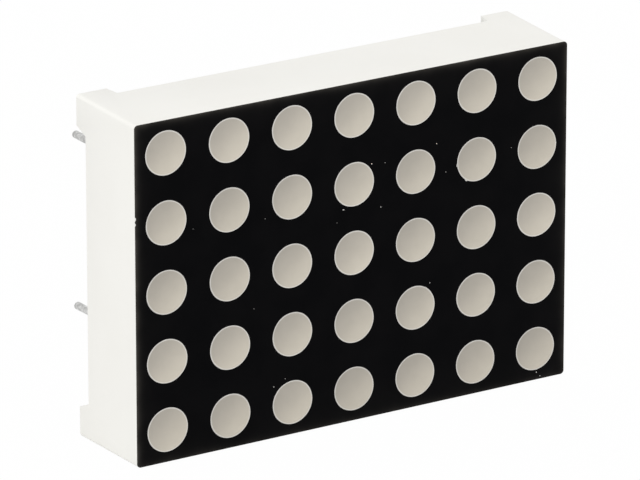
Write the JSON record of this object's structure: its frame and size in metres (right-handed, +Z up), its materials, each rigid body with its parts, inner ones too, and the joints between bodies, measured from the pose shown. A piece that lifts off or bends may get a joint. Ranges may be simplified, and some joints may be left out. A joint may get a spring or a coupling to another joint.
{
  "type": "led dot matrix display",
  "caption": "Flat LED dot matrix display: a white reflector housing with an inked face, round resin dots, a circuit board and two rows of solder pins.",
  "frame": {"origin": "under the middle of the display's outer box, on the plane that its lower long side stands on", "axes": "+X along the long side, to the right as the face is looked at; -Y out of the dotted face, +Y along the pins; +Z up across the short side"},
  "size_m": [0.0268, 0.0126, 0.019],
  "materials": {
    "housing_plastic": "moulded warm white plastic, semi-matte",
    "black_ink": "printed black ink, semi-matte",
    "dot_resin": "milky grey-beige diffusing resin, satin",
    "board_laminate": "glass laminate with green solder mask",
    "land_copper": "gold-flashed copper lands",
    "led_die": "semiconductor die",
    "bond_gold": "gold wire",
    "solder": "bright solder",
    "tinned_pin": "matt tinned wire"
  },
  "bodies": {
    "root": {"reflector_housing": "housing_plastic", "face_ink": "black_ink", "circuit_board": "board_laminate", "copper_lands": "land_copper", "led_dice": "led_die", "bond_wires": "bond_gold", "solder_joints": "solder", "dot_row1_col1": "dot_resin", "dot_row1_col2": "dot_resin", "dot_row1_col3": "dot_resin", "dot_row1_col4": "dot_resin", "dot_row1_col5": "dot_resin", "dot_row1_col6": "dot_resin", "dot_row1_col7": "dot_resin", "dot_row2_col1": "dot_resin", "dot_row2_col2": "dot_resin", "dot_row2_col3": "dot_resin", "dot_row2_col4": "dot_resin", "dot_row2_col5": "dot_resin", "dot_row2_col6": "dot_resin", "dot_row2_col7": "dot_resin", "dot_row3_col1": "dot_resin", "dot_row3_col2": "dot_resin", "dot_row3_col3": "dot_resin", "dot_row3_col4": "dot_resin", "dot_row3_col5": "dot_resin", "dot_row3_col6": "dot_resin", "dot_row3_col7": "dot_resin", "dot_row4_col1": "dot_resin", "dot_row4_col2": "dot_resin", "dot_row4_col3": "dot_resin", "dot_row4_col4": "dot_resin", "dot_row4_col5": "dot_resin", "dot_row4_col6": "dot_resin", "dot_row4_col7": "dot_resin", "dot_row5_col1": "dot_resin", "dot_row5_col2": "dot_resin", "dot_row5_col3": "dot_resin", "dot_row5_col4": "dot_resin", "dot_row5_col5": "dot_resin", "dot_row5_col6": "dot_resin", "dot_row5_col7": "dot_resin", "pin_1": "tinned_pin", "pin_2": "tinned_pin", "pin_3": "tinned_pin", "pin_4": "tinned_pin", "pin_5": "tinned_pin", "pin_6": "tinned_pin", "pin_7": "tinned_pin", "pin_8": "tinned_pin", "pin_9": "tinned_pin", "pin_10": "tinned_pin", "pin_11": "tinned_pin", "pin_12": "tinned_pin"}
  },
  "joints": []
}
